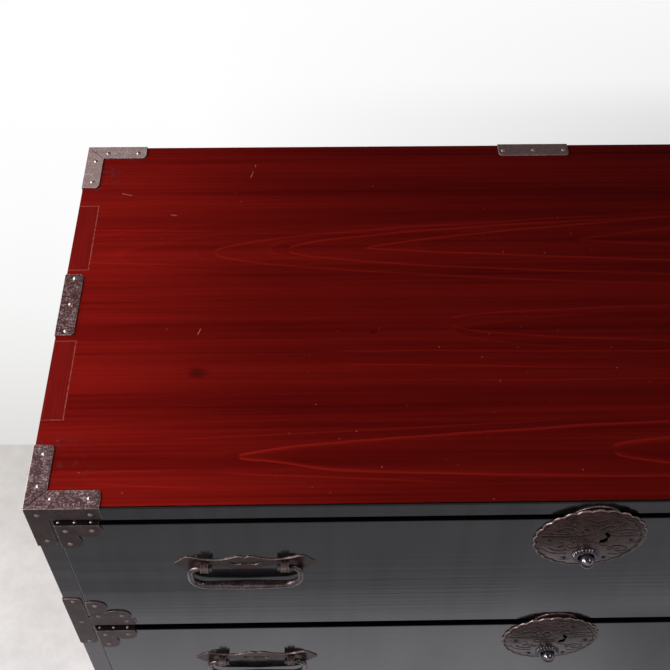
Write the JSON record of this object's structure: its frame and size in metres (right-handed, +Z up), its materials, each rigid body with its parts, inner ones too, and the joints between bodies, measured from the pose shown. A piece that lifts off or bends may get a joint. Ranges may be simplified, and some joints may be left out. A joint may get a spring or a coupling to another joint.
{
  "type": "tansu chest of drawers",
  "caption": "Low Japanese tansu chest with wide stacked drawers, sheet-iron corner mounts, lobed round lock plates with push buttons and swinging bail handles.",
  "frame": {"origin": "centre of the case's underside, on the floor", "axes": "+X to the right along the front, +Y from the front to the back, +Z up"},
  "size_m": [0.9144, 0.4419, 0.6282],
  "materials": {
    "red_lacquer": "translucent red lacquer over conifer grain",
    "side_lacquer": "thin dark red-brown lacquer",
    "black_lacquer": "semi-gloss black lacquer, worn",
    "plain_wood": "bare softwood, aged",
    "dark_iron": "dark brown patina, pitted",
    "lock_iron": "dull, oiled",
    "bright_iron": "polished by use"
  },
  "bodies": {
    "case": {"top_board": "red_lacquer", "left_side_board": "side_lacquer", "right_side_board": "side_lacquer", "bottom_board": "plain_wood", "back_boards": "plain_wood", "front_rails": "black_lacquer", "shelf_boards": "plain_wood", "corner_irons": "dark_iron", "rail_irons": "dark_iron", "edge_irons": "dark_iron", "lock_keepers": "dark_iron", "case_nails": "dark_iron"},
    "upper_drawer": {"upper_drawer_front": "black_lacquer", "upper_drawer_left_side": "plain_wood", "upper_drawer_right_side": "plain_wood", "upper_drawer_back": "plain_wood", "upper_drawer_bottom": "plain_wood", "upper_drawer_corner_irons": "dark_iron", "upper_lock_plate": "dark_iron", "upper_lock_case": "lock_iron", "upper_lock_spring": "lock_iron", "upper_handle_plates": "dark_iron", "upper_handle_posts": "dark_iron", "upper_drawer_nails": "dark_iron"},
    "upper_bolt": {"upper_lock_bolt": "lock_iron"},
    "upper_button": {"upper_lock_button": "bright_iron"},
    "upper_left_handle": {"upper_left_bail": "dark_iron"},
    "upper_right_handle": {"upper_right_bail": "dark_iron"},
    "middle_drawer": {"middle_drawer_front": "black_lacquer", "middle_drawer_left_side": "plain_wood", "middle_drawer_right_side": "plain_wood", "middle_drawer_back": "plain_wood", "middle_drawer_bottom": "plain_wood", "middle_drawer_corner_irons": "dark_iron", "middle_lock_plate": "dark_iron", "middle_lock_case": "lock_iron", "middle_lock_spring": "lock_iron", "middle_handle_plates": "dark_iron", "middle_handle_posts": "dark_iron", "middle_drawer_nails": "dark_iron"},
    "middle_bolt": {"middle_lock_bolt": "lock_iron"},
    "middle_button": {"middle_lock_button": "bright_iron"},
    "middle_left_handle": {"middle_left_bail": "dark_iron"},
    "middle_right_handle": {"middle_right_bail": "dark_iron"},
    "lower_drawer": {"lower_drawer_front": "black_lacquer", "lower_drawer_left_side": "plain_wood", "lower_drawer_right_side": "plain_wood", "lower_drawer_back": "plain_wood", "lower_drawer_bottom": "plain_wood", "lower_drawer_corner_irons": "dark_iron", "lower_lock_plate": "dark_iron", "lower_lock_case": "lock_iron", "lower_lock_spring": "lock_iron", "lower_handle_plates": "dark_iron", "lower_handle_posts": "dark_iron", "lower_drawer_nails": "dark_iron"},
    "lower_bolt": {"lower_lock_bolt": "lock_iron"},
    "lower_button": {"lower_lock_button": "bright_iron"},
    "lower_left_handle": {"lower_left_bail": "dark_iron"},
    "lower_right_handle": {"lower_right_bail": "dark_iron"}
  },
  "joints": [
    {"name": "upper_drawer_slide", "type": "slide", "parent": "case", "child": "upper_drawer", "axis": [0, -1, 0], "range_m": [0, 0.3]},
    {"name": "upper_button_push", "type": "slide", "parent": "upper_drawer", "child": "upper_button", "axis": [0, 1, 0], "range_m": [0, 0.005], "stiffness_N_per_m": 300, "springref_m": -0.003},
    {"name": "upper_bolt_lift", "type": "slide", "parent": "upper_drawer", "child": "upper_bolt", "axis": [0, 0, 1], "range_m": [0, 0.005], "deforming": ["upper_lock_spring"]},
    {"name": "upper_left_handle_swing", "type": "hinge", "parent": "upper_drawer", "child": "upper_left_handle", "pos_m": [-0.287, -0.21785, 0.5365], "axis": [-1, 0, 0], "range_deg": [0, 170]},
    {"name": "upper_right_handle_swing", "type": "hinge", "parent": "upper_drawer", "child": "upper_right_handle", "pos_m": [0.287, -0.21785, 0.5365], "axis": [-1, 0, 0], "range_deg": [0, 170]},
    {"name": "middle_drawer_slide", "type": "slide", "parent": "case", "child": "middle_drawer", "axis": [0, -1, 0], "range_m": [0, 0.3]},
    {"name": "middle_button_push", "type": "slide", "parent": "middle_drawer", "child": "middle_button", "axis": [0, 1, 0], "range_m": [0, 0.005], "stiffness_N_per_m": 300, "springref_m": -0.003},
    {"name": "middle_bolt_lift", "type": "slide", "parent": "middle_drawer", "child": "middle_bolt", "axis": [0, 0, 1], "range_m": [0, 0.005], "deforming": ["middle_lock_spring"]},
    {"name": "middle_left_handle_swing", "type": "hinge", "parent": "middle_drawer", "child": "middle_left_handle", "pos_m": [-0.287, -0.21785, 0.333], "axis": [-1, 0, 0], "range_deg": [0, 170]},
    {"name": "middle_right_handle_swing", "type": "hinge", "parent": "middle_drawer", "child": "middle_right_handle", "pos_m": [0.287, -0.21785, 0.333], "axis": [-1, 0, 0], "range_deg": [0, 170]},
    {"name": "lower_drawer_slide", "type": "slide", "parent": "case", "child": "lower_drawer", "axis": [0, -1, 0], "range_m": [0, 0.3]},
    {"name": "lower_button_push", "type": "slide", "parent": "lower_drawer", "child": "lower_button", "axis": [0, 1, 0], "range_m": [0, 0.005], "stiffness_N_per_m": 300, "springref_m": -0.003},
    {"name": "lower_bolt_lift", "type": "slide", "parent": "lower_drawer", "child": "lower_bolt", "axis": [0, 0, 1], "range_m": [0, 0.005], "deforming": ["lower_lock_spring"]},
    {"name": "lower_left_handle_swing", "type": "hinge", "parent": "lower_drawer", "child": "lower_left_handle", "pos_m": [-0.287, -0.21785, 0.1295], "axis": [-1, 0, 0], "range_deg": [0, 170]},
    {"name": "lower_right_handle_swing", "type": "hinge", "parent": "lower_drawer", "child": "lower_right_handle", "pos_m": [0.287, -0.21785, 0.1295], "axis": [-1, 0, 0], "range_deg": [0, 170]}
  ],
  "couplings": [
    {"joint": "upper_bolt_lift", "follows": "upper_button_push", "ratio": 1},
    {"joint": "middle_bolt_lift", "follows": "middle_button_push", "ratio": 1},
    {"joint": "lower_bolt_lift", "follows": "lower_button_push", "ratio": 1}
  ]
}
